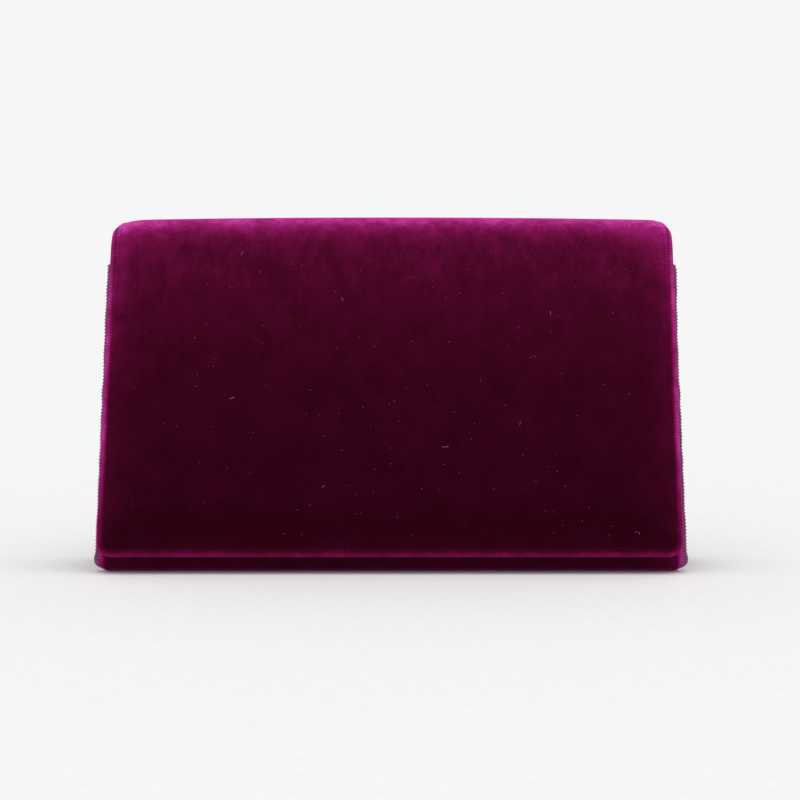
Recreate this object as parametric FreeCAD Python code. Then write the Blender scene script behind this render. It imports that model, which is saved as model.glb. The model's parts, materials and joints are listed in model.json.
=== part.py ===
import FreeCAD, Part
import math
import os

# Small velvet clutch purse: a wedge-shaped pouch with a wide fold over the top and one full
# flap that hangs down the whole front. Millimetres, standing on its base.
# X runs across the width, Y from the front (-Y) to the back (+Y), Z up.
# The origin is the middle of the base, on the surface the purse stands on.
# "Depth" is always measured inwards, square to the outer surface of the panel it belongs to.

# ---- Driving dimensions -------------------------------------------------------------------
HEIGHT = 97.0            # table to the top of the fold
BASE_DEPTH = 38.0        # front to back at the table
HALF_BASE = 81.4         # half the width at the table
HALF_TOP = 77.3          # half the width at the top of the fold
FOLD_RADIUS = 9.0        # outer radius of the fold over the mouth
CORNER_RADIUS = 5.0      # outer radius where the base turns up into the panels
BODY_TOP = 86.0          # upper edge of the pouch, under the fold
FLAP_BOTTOM = 5.0        # lower edge of the flap above the table
FLAP_INSET = 0.5         # the flap is this much narrower than the pouch, each side

VELVET = 1.0             # thickness of the velvet with its pile pressed
FLEECE = 0.8             # padding under the velvet
BOARD = 1.0              # stiffening board
LINING = 0.4             # satin lining
FLAP_GAP = 1.2           # air between the closed flap and the front panel

TURNED_EDGE = 2.2        # velvet rolled round the edges of the flap
WELT_WIDTH = 2.4         # seam allowance down the sides of the pouch
TOP_RIM = 1.0            # velvet turned over the upper edge of the front panel
TOP_CORNER = 5.0         # radius of the upper corners, seen from the front
FLAP_CORNER = 4.0        # radius of the lower corners of the flap
FOOT_CORNER = 2.0        # radius of the lower corners of the pouch

FOLD_CUT = 48.3          # degrees round the fold arc to the rear hinge line
FRONT_HINGE = 6.0        # height of the line about which the front panel leans out
JOINT_GAP = 0.3          # clearance across each hinge line
GUSSET_TUCK = 10.0       # how far the side gussets fold inwards at the mouth

POCKET_HALF_WIDTH = 55.0
POCKET_BOTTOM = 14.0
POCKET_TOP = 66.0
POCKET_GAP = 1.2         # room for cards
POCKET_SHEET = 0.5
POCKET_SEAM = 2.0        # width of the sewn edge of the pocket

SNAP_HEIGHT = 30.0       # magnetic snap, on the centre line
SNAP_RADIUS = 7.0
SNAP_WALL = 0.35         # sheet metal of the snap
SNAP_PROUD = 0.3         # how far the case stands out of the front velvet
STUD_PLATE = 0.5
STUD_RADIUS = 2.2
STUD_TIP = 5.5           # depth of the stud's tip, from the outer face of the flap
CASE_HOLE = 2.9
MAGNET_HOLE = 3.0
WASHER_RADIUS = 5.8
LEG_INNER = 2.0          # distance of the bent-over legs from the centre of the snap
LEG_THICK = 0.35
LEG_REACH = 5.0
LEG_HALF_WIDTH = 1.5
SLOT_PLAY = 0.05

# ---- Worked out from the driving dimensions ---------------------------------------------------
STACK = VELVET + FLEECE + BOARD + LINING
PADDED = VELVET + FLEECE + BOARD         # depth of the lining's back
FRONT_DEPTH = STACK + FLAP_GAP           # depth of the front panel under the flap's outer face
HALF_DEPTH = BASE_DEPTH / 2
ARC_HEIGHT = HEIGHT - FOLD_RADIUS
LEAN = math.asin(HALF_DEPTH / math.hypot(HALF_DEPTH, ARC_HEIGHT))
LEAN -= math.asin(FOLD_RADIUS / math.hypot(HALF_DEPTH, ARC_HEIGHT))
LEAN_DEG = math.degrees(LEAN)
RUN = math.tan(LEAN)                     # how far a panel leans in for each mm of height
CORNER_SETBACK = CORNER_RADIUS * (1 + math.sin(LEAN)) / math.cos(LEAN)
REACH = 120.0                            # half-length of the tools that trim the layers


def flap_y(z, depth=0.0):
    return -HALF_DEPTH + z * RUN + depth / math.cos(LEAN)


def front_y(z, depth=0.0):
    return flap_y(z, FRONT_DEPTH + depth)


def back_y(z, depth=0.0):
    return HALF_DEPTH - z * RUN - depth / math.cos(LEAN)


def half_width(z):
    return HALF_BASE - (HALF_BASE - HALF_TOP) * z / HEIGHT


def crease_depth(z):
    return GUSSET_TUCK * (z - STACK) / (BODY_TOP - STACK)


# ---- Cross-section of the wrap, seen along X ------------------------------------------------
# The section is a chain of runs that always turns left, so its inside is on the left of each.
class Straight:
    def __init__(self, start, end):
        length = math.dist(start, end)
        self.ends = (start, end)
        self.inward = ((start[1] - end[1]) / length, (end[0] - start[0]) / length)

    def point(self, index, depth):
        y, z = self.ends[index]
        return FreeCAD.Vector(-REACH, y + depth * self.inward[0], z + depth * self.inward[1])

    def edge(self, depth):
        return Part.LineSegment(self.point(0, depth), self.point(1, depth)).toShape()


class Bend:
    def __init__(self, centre, radius, start, end):
        self.centre = centre
        self.radius = radius
        self.angles = (start, (start + end) / 2, end)

    def at(self, angle, depth):
        turn = math.radians(angle)
        reach = self.radius - depth
        y = self.centre[0] + reach * math.cos(turn)
        return FreeCAD.Vector(-REACH, y, self.centre[1] + reach * math.sin(turn))

    def point(self, index, depth):
        return self.at(self.angles[2 * index], depth)

    def edge(self, depth):
        return Part.Arc(*[self.at(angle, depth) for angle in self.angles]).toShape()


def layer(runs, outer, inner):
    """A layer of the wrap between two depths, along these runs, wider than the purse."""
    first = Part.LineSegment(runs[0].point(0, inner), runs[0].point(0, outer)).toShape()
    last = Part.LineSegment(runs[-1].point(1, outer), runs[-1].point(1, inner)).toShape()
    outside = [run.edge(outer) for run in runs]
    inside = [run.edge(inner) for run in reversed(runs)]
    face = Part.Face(Part.Wire([first] + outside + [last] + inside))
    return face.extrude(FreeCAD.Vector(2 * REACH, 0, 0))


def front_run(top, bottom):
    return Straight((front_y(top), top), (front_y(bottom), bottom))


def back_run(bottom, top):
    return Straight((back_y(bottom), bottom), (back_y(top), top))


def flap_run(top, bottom):
    return Straight((flap_y(top), top), (flap_y(bottom), bottom))


def fold_run(start, end):
    return Bend((0.0, ARC_HEIGHT), FOLD_RADIUS, start, end)


FRONT_CORNER_Y = front_y(0) + CORNER_SETBACK
BACK_CORNER_Y = back_y(0) - CORNER_SETBACK
CORNER_END = CORNER_RADIUS * (1 + math.sin(LEAN))       # height where a corner meets its panel
FOLD_START = ARC_HEIGHT + FOLD_RADIUS * math.sin(LEAN)  # height where the fold meets a panel
HINGE_BELOW = FRONT_HINGE - JOINT_GAP / 2
HINGE_ABOVE = FRONT_HINGE + JOINT_GAP / 2
GUSSET_SPLIT = HINGE_BELOW - STACK * math.sin(LEAN)      # clear of the front panel's inner corner
BOARD_TOP = BODY_TOP - TOP_RIM

FRONT_CORNER = Bend((FRONT_CORNER_Y, CORNER_RADIUS), CORNER_RADIUS, 180 - LEAN_DEG, 270)
BASE_FLAT = Straight((FRONT_CORNER_Y, 0.0), (BACK_CORNER_Y, 0.0))
BACK_CORNER = Bend((BACK_CORNER_Y, CORNER_RADIUS), CORNER_RADIUS, 270, 360 + LEAN_DEG)
BASE_RUNS = [
    front_run(HINGE_BELOW, CORNER_END),
    FRONT_CORNER,
    BASE_FLAT,
    BACK_CORNER,
    back_run(CORNER_END, FRONT_HINGE),
]
BACK_PANEL = back_run(FRONT_HINGE, BODY_TOP)
BACK_TOP = [back_run(BODY_TOP, FOLD_START), fold_run(LEAN_DEG, 90)]
FOLD_ALL = [fold_run(LEAN_DEG, 180 - LEAN_DEG)]
FLAP_TOP = [fold_run(90, 180 - LEAN_DEG), flap_run(FOLD_START, BODY_TOP)]
FLAP_PANEL = flap_run(BODY_TOP, FLAP_BOTTOM)


# ---- Shapes seen from the front ------------------------------------------------------------
def prism(points):
    """A block that runs front to back through a closed outline of (x, z) points."""
    corners = [FreeCAD.Vector(x, -REACH, z) for x, z in points]
    face = Part.Face(Part.makePolygon(corners + corners[:1]))
    return face.extrude(FreeCAD.Vector(0, 2 * REACH, 0))


def rounded(block, radius, height):
    """Round the front-to-back edges of a prism that lie at this height."""
    edges = []
    for edge in block.Edges:
        low, high = edge.BoundBox.ZMin, edge.BoundBox.ZMax
        if edge.BoundBox.YLength > REACH and abs(low - height) + abs(high - height) < 0.01:
            edges.append(edge)
    return block.makeFillet(radius, edges)


def outline(inset, bottom, top):
    low = half_width(bottom) - inset
    high = half_width(top) - inset
    return prism([(-low, bottom), (low, bottom), (high, top), (-high, top)])


def lining_outline(bottom):
    """Inside of the rolled edge of the flap and fold; its upper corners are cut off."""
    side = FLAP_INSET + TURNED_EDGE
    shoulder = HEIGHT - TOP_CORNER - 1.0
    low = half_width(bottom) - side
    high = half_width(shoulder) - side
    top = HALF_TOP - side - TOP_CORNER
    right = [(low, bottom), (high, shoulder), (top, HEIGHT - 1.0), (top, HEIGHT + 5.0)]
    return prism(right + [(-x, z) for x, z in reversed(right)])


def side_strip(side, bottom, top):
    """The seam allowance down one side of the pouch."""
    low = side * half_width(bottom)
    high = side * half_width(top)
    inner = side * WELT_WIDTH
    return prism([(low, bottom), (high, top), (high - inner, top), (low - inner, bottom)])


BODY_OUTLINE = rounded(outline(0, 0, HEIGHT + 5), FOOT_CORNER, 0)
BODY_INSIDE = outline(WELT_WIDTH, 0, HEIGHT + 5)
FLAP_OUTLINE = rounded(outline(FLAP_INSET, FLAP_BOTTOM, HEIGHT), TOP_CORNER, HEIGHT)
FLAP_OUTLINE = rounded(FLAP_OUTLINE, FLAP_CORNER, FLAP_BOTTOM)
FLAP_INSIDE = lining_outline(FLAP_BOTTOM + TURNED_EDGE)


# ---- The three bodies that share the fold ------------------------------------------------------
def hinge_gap(degrees):
    """The slit across the fold at one hinge line."""
    slit = Part.makeBox(2 * REACH, FOLD_RADIUS + 2, JOINT_GAP)
    slit.translate(FreeCAD.Vector(-REACH, 0, -JOINT_GAP / 2))
    slit.rotate(FreeCAD.Vector(0, 0, 0), FreeCAD.Vector(1, 0, 0), degrees)
    slit.translate(FreeCAD.Vector(0, 0, ARC_HEIGHT))
    return slit


FOLD_SLITS = hinge_gap(FOLD_CUT).fuse(hinge_gap(180 - FOLD_CUT))


def owner(piece):
    """Which body a piece of the fold belongs to, by its angle from straight up."""
    middle = piece.CenterOfMass
    tilt = math.degrees(math.atan2(middle.y, middle.z - ARC_HEIGHT))
    if abs(tilt) < 90 - FOLD_CUT:
        return "fold"
    return "shell" if tilt > 0 else "flap"


def share(shape, body):
    """The part of a fold layer that belongs to the shell, the fold or the flap."""
    return [piece for piece in shape.cut(FOLD_SLITS).Solids if owner(piece) == body][0]


def rolled(runs, outside):
    """Velvet over the outer face and rolled round the side edges."""
    whole = layer(runs, 0, STACK).common(outside)
    return whole.cut(layer(runs, VELVET, STACK + 1).common(FLAP_INSIDE))


def save(name, shape):
    pieces = shape.removeSplitter().Solids
    if len(pieces) != 1 or not pieces[0].isValid():
        raise ValueError(f"{name} is {len(pieces)} solids")
    pieces[0].exportStep(f"parts/{name}.step")


def make_fold_layers():
    velvet = rolled(FOLD_ALL, FLAP_OUTLINE)
    save("fold_velvet", share(velvet, "fold"))
    fleece = layer(FOLD_ALL, VELVET, PADDED).common(FLAP_INSIDE)
    save("fold_fleece", share(fleece, "fold"))
    lining = layer(FOLD_ALL, PADDED, STACK).common(FLAP_INSIDE)
    save("fold_lining", share(lining, "fold"))


def make_back():
    top_velvet = share(rolled(BACK_TOP, FLAP_OUTLINE), "shell")
    panel_velvet = layer([BACK_PANEL], 0, VELVET).common(BODY_OUTLINE)
    save("back_velvet", panel_velvet.fuse(top_velvet))
    top_fleece = share(layer(BACK_TOP, VELVET, PADDED).common(FLAP_INSIDE), "shell")
    panel_fleece = layer([BACK_PANEL], VELVET, VELVET + FLEECE).common(BODY_INSIDE)
    save("back_fleece", panel_fleece.fuse(top_fleece))
    save("back_board", layer([BACK_PANEL], VELVET + FLEECE, PADDED).common(BODY_INSIDE))
    top_lining = share(layer(BACK_TOP, PADDED, STACK).common(FLAP_INSIDE), "shell")
    panel_lining = layer([BACK_PANEL], PADDED, STACK).common(BODY_INSIDE)
    save("back_lining", panel_lining.fuse(top_lining))


def make_base():
    save("base_velvet", layer(BASE_RUNS, 0, VELVET).common(BODY_OUTLINE))
    save("base_board", layer([BASE_FLAT], VELVET, PADDED).common(BODY_INSIDE))
    save("base_lining", layer(BASE_RUNS, PADDED, STACK).common(BODY_INSIDE))


def make_front():
    seat = snap_disc(SNAP_RADIUS, FRONT_DEPTH - SNAP_PROUD, FRONT_DEPTH + VELVET + FLEECE)
    recess = snap_disc(WASHER_RADIUS, FRONT_DEPTH + PADDED - 2 * LEG_THICK, FRONT_DEPTH + PADDED)
    rim = layer([front_run(BODY_TOP, BOARD_TOP)], 0, STACK)
    velvet = layer([front_run(BODY_TOP, HINGE_ABOVE)], 0, VELVET).fuse(rim).common(BODY_OUTLINE)
    save("front_velvet", velvet.cut(seat))
    runs = [front_run(BOARD_TOP, HINGE_ABOVE)]
    fleece = layer(runs, VELVET, VELVET + FLEECE).common(BODY_INSIDE)
    save("front_fleece", fleece.cut(seat))
    board = layer(runs, VELVET + FLEECE, PADDED).common(BODY_INSIDE)
    save("front_board", board.cut(recess).cut(leg_slots(FRONT_DEPTH, FRONT_DEPTH + STACK)))
    save("front_lining", layer(runs, PADDED, STACK).common(BODY_INSIDE))


def make_flap():
    velvet = rolled(FLAP_TOP + [FLAP_PANEL], FLAP_OUTLINE)
    save("flap_velvet", share(velvet, "flap"))
    top_fleece = layer(FLAP_TOP, VELVET, PADDED).common(FLAP_INSIDE)
    panel_fleece = layer([FLAP_PANEL], VELVET, VELVET + FLEECE).common(FLAP_INSIDE)
    fleece = share(top_fleece.fuse(panel_fleece), "flap")
    save("flap_fleece", fleece.cut(snap_disc(WASHER_RADIUS, 0, VELVET + FLEECE)))
    slots = leg_slots(0, STACK)
    board = layer([FLAP_PANEL], VELVET + FLEECE, PADDED).common(FLAP_INSIDE)
    save("flap_board", board.cut(slots))
    lining = layer(FLAP_TOP + [FLAP_PANEL], PADDED, STACK).common(FLAP_INSIDE)
    save("flap_lining", share(lining, "flap").cut(slots))


# ---- Sides of the pouch --------------------------------------------------------------------------
CREASE_Y = (front_y(0, STACK) + back_y(0, STACK)) / 2


def cavity():
    """The inside of the pouch, up to the level of the mouth."""
    inside = [run.edge(STACK) for run in BASE_RUNS]
    front = front_run(BODY_TOP + 5, HINGE_BELOW)
    back = back_run(FRONT_HINGE, BODY_TOP + 5)
    lid = Part.LineSegment(back.point(1, STACK), front.point(0, STACK)).toShape()
    edges = [front.edge(STACK)] + inside + [back.edge(STACK), lid]
    return Part.Face(Part.Wire(edges)).extrude(FreeCAD.Vector(2 * REACH, 0, 0))


CAVITY = cavity()


def leaf(side, panel_y, crease_y, bottom, top, outer, inner):
    """One leaf of a folded side gusset, between two distances in from its outer face."""
    sections = []
    for z in (bottom, top):
        seam = half_width(z) - WELT_WIDTH
        slope = crease_depth(z) / abs(CREASE_Y - panel_y(z, STACK))
        past = panel_y(z, STACK / 2)
        seam_x = seam + slope * (abs(past - CREASE_Y) - abs(CREASE_Y - panel_y(z, STACK)))
        crease_x = seam - crease_depth(z) + slope * abs(crease_y - CREASE_Y)
        corners = [(seam_x, past), (crease_x, crease_y)]
        ring = [(x - outer, y) for x, y in corners]
        ring += [(x - inner, y) for x, y in reversed(corners)]
        points = [FreeCAD.Vector(side * x, y, z) for x, y in ring]
        sections.append(Part.makePolygon(points + points[:1]))
    return Part.makeLoft(sections, True, True).common(CAVITY)


def make_gusset(side, side_name):
    sheets = {"velvet": (0, VELVET), "lining": (VELVET, VELVET + LINING)}
    half_gap = JOINT_GAP / 2
    for sheet, (outer, inner) in sheets.items():
        rear = leaf(side, back_y, CREASE_Y + half_gap, STACK, BODY_TOP, outer, inner)
        foot = leaf(side, front_y, CREASE_Y + half_gap, STACK, GUSSET_SPLIT, outer, inner)
        save(f"gusset_{side_name}_rear_{sheet}", rear.fuse(foot))
        front = leaf(side, front_y, CREASE_Y - half_gap, HINGE_ABOVE, BODY_TOP, outer, inner)
        save(f"gusset_{side_name}_front_{sheet}", front)


def make_welts(side, side_name):
    back_strip = side_strip(side, 0, HEIGHT)
    back = layer(BASE_RUNS + [BACK_PANEL], VELVET, STACK).common(BODY_OUTLINE)
    save(f"seam_welt_back_{side_name}", back.common(back_strip))
    front = layer([front_run(BOARD_TOP, HINGE_ABOVE)], VELVET, STACK)
    save(f"seam_welt_front_{side_name}", front.common(side_strip(side, 0, HEIGHT)))


# ---- Slip pocket on the back lining ----------------------------------------------------------------
def make_pocket():
    half = POCKET_HALF_WIDTH
    run = [back_run(POCKET_BOTTOM, POCKET_TOP)]
    width = prism([(-half, 0), (half, 0), (half, HEIGHT), (-half, HEIGHT)])
    sheet_depth = STACK + POCKET_GAP
    save("slip_pocket_sheet", layer(run, sheet_depth, sheet_depth + POCKET_SHEET).common(width))
    inner = half - POCKET_SEAM
    hollow = prism([(-inner, 0), (inner, 0), (inner, HEIGHT), (-inner, HEIGHT)])
    room = layer([back_run(POCKET_BOTTOM + POCKET_SEAM, HEIGHT)], STACK - 1, sheet_depth + 1)
    seam = layer(run, STACK, sheet_depth).common(width)
    save("slip_pocket_seam", seam.cut(room.common(hollow)))


# ---- Magnetic snap -----------------------------------------------------------------------------------
def on_flap(shape):
    """From the snap's own frame (Y inwards, Z up the panel) to its place on the closed flap."""
    shape.rotate(FreeCAD.Vector(0, 0, 0), FreeCAD.Vector(1, 0, 0), -LEAN_DEG)
    shape.translate(FreeCAD.Vector(0, flap_y(SNAP_HEIGHT), SNAP_HEIGHT))
    return shape


def snap_disc(radius, start, end):
    foot = FreeCAD.Vector(0, start, 0)
    return on_flap(Part.makeCylinder(radius, end - start, foot, FreeCAD.Vector(0, 1, 0)))


def snap_ring(radius, hole, start, end):
    return snap_disc(radius, start, end).cut(snap_disc(hole, start - 1, end + 1))


def snap_bar(side, inner, outer, start, end, play=0.0):
    low = min(side * (inner - play), side * (outer + play))
    size = (outer - inner + 2 * play, end - start, 2 * (LEG_HALF_WIDTH + play))
    corner = FreeCAD.Vector(low, start, -LEG_HALF_WIDTH - play)
    return on_flap(Part.makeBox(*size, corner))


def leg_slots(start, end):
    slots = []
    for side in (-1, 1):
        slots.append(snap_bar(side, LEG_INNER, LEG_INNER + LEG_THICK, start, end, SLOT_PLAY))
    return slots[0].fuse(slots[1])


def bent_legs(root, bend):
    """Two legs through the panel, folded outwards so their far faces lie at depth bend."""
    inwards = bend > root
    near = bend - LEG_THICK if inwards else bend + LEG_THICK
    legs = []
    for side in (-1, 1):
        shank = snap_bar(side, LEG_INNER, LEG_INNER + LEG_THICK, min(root, bend), max(root, bend))
        foot = snap_bar(side, LEG_INNER, LEG_REACH, min(near, bend), max(near, bend))
        legs.append(shank.fuse(foot))
    return legs


def make_flap_snap():
    plate_top = STACK + STUD_PLATE
    leg_plate = STACK + STUD_PLATE / 2
    plate = snap_disc(SNAP_RADIUS, STACK, plate_top).cut(snap_disc(LEG_REACH, STACK - 1, leg_plate))
    save("snap_stud", plate.fuse(snap_disc(STUD_RADIUS, leg_plate, STUD_TIP)))
    legs = bent_legs(leg_plate, VELVET)
    save("snap_stud_legs", snap_disc(LEG_REACH, STACK, leg_plate).fuse(legs))
    washer = snap_disc(WASHER_RADIUS, VELVET + LEG_THICK, VELVET + FLEECE)
    save("snap_stud_washer", washer.cut(leg_slots(0, STACK)))


def make_front_snap():
    start = FRONT_DEPTH - SNAP_PROUD
    end = FRONT_DEPTH + VELVET + FLEECE
    base_start = end - SNAP_WALL
    room = SNAP_RADIUS - SNAP_WALL
    can = snap_ring(SNAP_RADIUS, CASE_HOLE, start, start + SNAP_WALL)
    can = can.fuse(snap_ring(SNAP_RADIUS, room, start, end))
    save("snap_case", can)
    save("snap_magnet", snap_ring(room, MAGNET_HOLE, start + SNAP_WALL, base_start))
    lining_back = FRONT_DEPTH + PADDED
    legs = bent_legs(base_start, lining_back)
    save("snap_base", snap_disc(room, base_start, end).fuse(legs))
    washer = snap_disc(WASHER_RADIUS, lining_back - 2 * LEG_THICK, lining_back - LEG_THICK)
    save("snap_case_washer", washer.cut(leg_slots(FRONT_DEPTH, FRONT_DEPTH + STACK)))


make_fold_layers()
make_back()
make_base()
make_front()
make_flap()
for side, side_name in ((-1, "left"), (1, "right")):
    make_gusset(side, side_name)
    make_welts(side, side_name)
make_pocket()
make_flap_snap()
make_front_snap()
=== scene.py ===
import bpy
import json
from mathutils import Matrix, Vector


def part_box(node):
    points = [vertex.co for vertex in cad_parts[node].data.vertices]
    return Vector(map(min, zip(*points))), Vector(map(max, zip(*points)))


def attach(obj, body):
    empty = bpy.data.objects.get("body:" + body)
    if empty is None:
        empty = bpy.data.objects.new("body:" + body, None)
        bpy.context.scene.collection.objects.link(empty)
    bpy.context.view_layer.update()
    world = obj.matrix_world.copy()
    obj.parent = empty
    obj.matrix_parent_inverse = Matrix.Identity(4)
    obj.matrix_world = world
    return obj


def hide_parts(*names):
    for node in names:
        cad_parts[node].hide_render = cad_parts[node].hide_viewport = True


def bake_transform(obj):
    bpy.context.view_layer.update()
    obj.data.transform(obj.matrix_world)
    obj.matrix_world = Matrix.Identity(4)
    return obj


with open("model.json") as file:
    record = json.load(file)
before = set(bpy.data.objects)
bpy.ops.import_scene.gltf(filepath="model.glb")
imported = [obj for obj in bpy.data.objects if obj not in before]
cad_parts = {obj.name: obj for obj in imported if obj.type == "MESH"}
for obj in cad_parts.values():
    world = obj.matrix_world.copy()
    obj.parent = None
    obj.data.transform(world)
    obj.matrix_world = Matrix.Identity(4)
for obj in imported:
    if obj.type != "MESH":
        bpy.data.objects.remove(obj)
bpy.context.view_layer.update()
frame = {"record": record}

import json
import math

import bpy
import numpy as np
from mathutils import Vector

# Velvet clutch purse. X runs across the width, Y from front (-Y) to back (+Y), Z up; metres.
# Every cloth is laid out on a path that follows the outer line of the wrap, seen from the side:
# s is the distance along it, depth is measured inwards from it, and x runs across the purse.

MM = 0.001
join = np.concatenate
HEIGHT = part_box("fold_velvet")[1][2]
HALF_DEPTH = 19.0 * MM       # half the depth at the table
FOLD_R = 9.0 * MM            # outer radius of the fold over the mouth
CORNER_R = 5.0 * MM          # outer radius where the base turns up
HALF_BASE = 81.4 * MM        # half the width at the table
HALF_TOP = 77.3 * MM         # half the width at the top
BODY_TOP = 86.0 * MM         # upper edge of the front panel
FLAP_BOTTOM = 5.0 * MM       # lower edge of the flap above the table
STACK = 3.2 * MM             # velvet, padding, board and lining together
FRONT_DEPTH = 4.4 * MM       # the front panel lies this deep under the flap's face
FLAP_INSET = 0.5 * MM        # the flap is narrower than the pouch by this much each side
FLAP_SHIFT = 0.35 * MM       # it sits this much to the right at the fold, to the left at its foot
SIDE_INSET = 0.9 * MM        # the front and back velvet stop this far inside the ribbed seam edge
WELT = 2.4 * MM              # width of the seam allowance down the sides
ROLL = 1.7 * MM              # width of the velvet rolled round an edge
FLAP_CORNER = 4.0 * MM        # radius of the lower corners of the flap
FOOT_CORNER = 2.0 * MM        # radius of the lower corners of the pouch
SNAP_HEIGHT = 30.0 * MM       # height of the magnetic snap, on the centre line
HEM = 4.0 * MM                # velvet turned down inside the rim of the front panel
EDGE_BAND = 3.6 * MM          # band along each side edge that is divided finely
FINE = 0.24 * MM              # distance between columns in that band
COLUMN = 1.5 * MM             # and elsewhere

ARC_Z = HEIGHT - FOLD_R
LEAN = math.asin(HALF_DEPTH / math.hypot(HALF_DEPTH, ARC_Z))
LEAN -= math.asin(FOLD_R / math.hypot(HALF_DEPTH, ARC_Z))
ARC_HALF = FOLD_R * (math.pi / 2 - LEAN)     # from the top of the fold to where a panel starts
FACE_END = ARC_HALF + (ARC_Z + FOLD_R * math.sin(LEAN) - FLAP_BOTTOM) / math.cos(LEAN)
FRONT_FOOT = -HALF_DEPTH + FRONT_DEPTH / math.cos(LEAN)
SETBACK = CORNER_R * (1 + math.sin(LEAN)) / math.cos(LEAN)
CORNER_TOP = CORNER_R * (1 + math.sin(LEAN))
SIDES = ((-1, "left"), (1, "right"))


# ---- Paths ----
def straight(start, end):
    """Points and outward normals of a straight run; the outside is on its left."""
    start, end = np.array(start), np.array(end)
    along = (end - start) / np.linalg.norm(end - start)
    return np.array([start, end]), np.array([(-along[1], along[0])] * 2)


def bend(centre, radius, first, last):
    """Points and outward normals of an arc, from one angle to another in degrees."""
    turn = np.radians(np.linspace(first, last, 181))
    normals = np.stack([np.cos(turn), np.sin(turn)], 1)
    return np.array(centre) + radius * normals, normals


class Path:
    """The outer line of one cloth, in the YZ plane, measured by distance s from its start."""

    def __init__(self, *runs):
        points = join([run[0] for run in runs])
        normals = join([run[1] for run in runs])
        steps = np.linalg.norm(np.diff(points, axis=0), axis=1)
        always_rising = np.arange(len(points)) * 1e-12
        self.s = join([[0], np.cumsum(steps)]) + always_rising
        self.points, self.normals = points, normals
        self.length = self.s[-1]

    def at(self, s, depth=0.0):
        """Y and Z at a distance along the line and a depth inside it."""
        inside = np.clip(s, 0, self.length)
        y, z = (np.interp(inside, self.s, self.points[:, i]) for i in (0, 1))
        ny, nz = (np.interp(inside, self.s, self.normals[:, i]) for i in (0, 1))
        return y - ny * depth, z - nz * depth


def mirror(run):
    """The same run on the other side of the purse, front for back."""
    return run[0] * (-1, 1), run[1] * (-1, 1)


LEAN_DEG = math.degrees(LEAN)
PANEL_TOP = (FOLD_R * math.cos(LEAN), ARC_Z + FOLD_R * math.sin(LEAN))
BACK_FOOT = HALF_DEPTH - SETBACK
FRONT_CORNER = FRONT_FOOT + SETBACK
RUN = math.tan(LEAN)


def back_y(z):
    """Where the outer face of the back panel is, at a height."""
    return HALF_DEPTH - z * RUN


fold_back = bend((0, ARC_Z), FOLD_R, 90, LEAN_DEG)
down_back = straight(PANEL_TOP, (back_y(CORNER_TOP), CORNER_TOP))
down_flap = straight(PANEL_TOP, (back_y(-4 * MM), -4 * MM))
FLAP_PATH = Path(mirror(fold_back), mirror(down_flap))
BACK_PATH = Path(
    fold_back,
    down_back,
    bend((BACK_FOOT, CORNER_R), CORNER_R, LEAN_DEG, -90),
    straight((BACK_FOOT, 0), (FRONT_CORNER, 0)),
)
RIM_R = STACK / 2
rim_z = BODY_TOP - RIM_R
rim_y = FRONT_FOOT + rim_z * RUN
rim_centre = (rim_y + RIM_R * math.cos(LEAN), rim_z - RIM_R * math.sin(LEAN))
inner_top = np.array(rim_centre) + RIM_R * np.array([math.cos(LEAN), -math.sin(LEAN)])
inner_end = inner_top - HEM * np.array([math.sin(LEAN), math.cos(LEAN)])
up_front = straight((FRONT_FOOT + CORNER_TOP * RUN, CORNER_TOP), (rim_y, rim_z))
FRONT_PATH = Path(
    bend((FRONT_CORNER, CORNER_R), CORNER_R, 270, 180 - LEAN_DEG),
    up_front,
    bend(rim_centre, RIM_R, 180 - LEAN_DEG, -LEAN_DEG),
    straight(inner_top, inner_end),
)
FRONT_RIM_S = FRONT_PATH.length - HEM - math.pi * RIM_R / 2


def half_width(z):
    """Half the width of the pouch at a height."""
    return HALF_BASE - (HALF_BASE - HALF_TOP) * z / HEIGHT


def smooth(x, start, end):
    """0 before start, 1 after end, and a soft step between."""
    t = np.clip((x - start) / (end - start), 0, 1)
    return t * t * (3 - 2 * t)


def hump(x, width):
    """1 at 0, and down to nothing on both sides over about a width."""
    return np.exp(-((x / width) ** 2))


def fall_back(past, radius):
    """How far a round corner has fallen back, this far past its start."""
    past = np.clip(past, 0, radius)
    return radius - np.sqrt(radius**2 - past**2)


def painted_light_along(s):
    """Painted light, 0 to 1: a painted sheen over the fold, then painted light fading down the face."""
    light = 0.028 + 0.33 * hump(s, 7.0 * MM) + 0.10 * np.exp(-s / (24 * MM))
    # a little darker again over the last 22 mm above the lower edge
    light = light - 0.010 * smooth(s, FACE_END - 22 * MM, FACE_END - 3 * MM)
    red = (0.017, 0.028, 0.069, 0.155, 0.29, 0.5)      # red of the velvet's colour table, at these amounts of painted light
    return np.interp(light, red, (0, 0.1, 0.3, 0.5, 0.75, 1))


def crest_pull(s):
    """How far the ends of the fold draw in."""
    return 1.5 * MM * hump(s, 4.5 * MM)


def painted_roll_sheen(e):
    """Painted sheen along a rolled edge: over the whole roll, to its stitches."""
    return ROLL_SHEEN_PAINT * (1 - smooth(e, 0.45 * MM, 2.5 * MM))


def painted_edge_sheen(e, s):
    """Extra painted sheen just inside a rolled edge, more so near the fold."""
    return EDGE_SHEEN_PAINT * (1 + 2 * np.exp(-s / (40 * MM))) * np.exp(-(e - ROLL) / (4.5 * MM))


def flap_shift(s):
    """The flap hangs very slightly askew."""
    return FLAP_SHIFT * (1 - 2 * np.clip(s / FACE_END, 0, 1))


def waves(x, y, seed, scale):
    """A soft repeatable ripple between -1 and 1, from a few crossing sines."""
    rng = np.random.default_rng(seed)
    total = np.zeros(np.broadcast(x, y).shape)
    for _ in range(7):
        angle, phase = rng.uniform(0, math.tau, 2)
        pitch = scale * rng.uniform(0.6, 1.8)
        total += np.sin((x * math.cos(angle) + y * math.sin(angle)) * math.tau / pitch + phase)
    return total / 4


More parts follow.
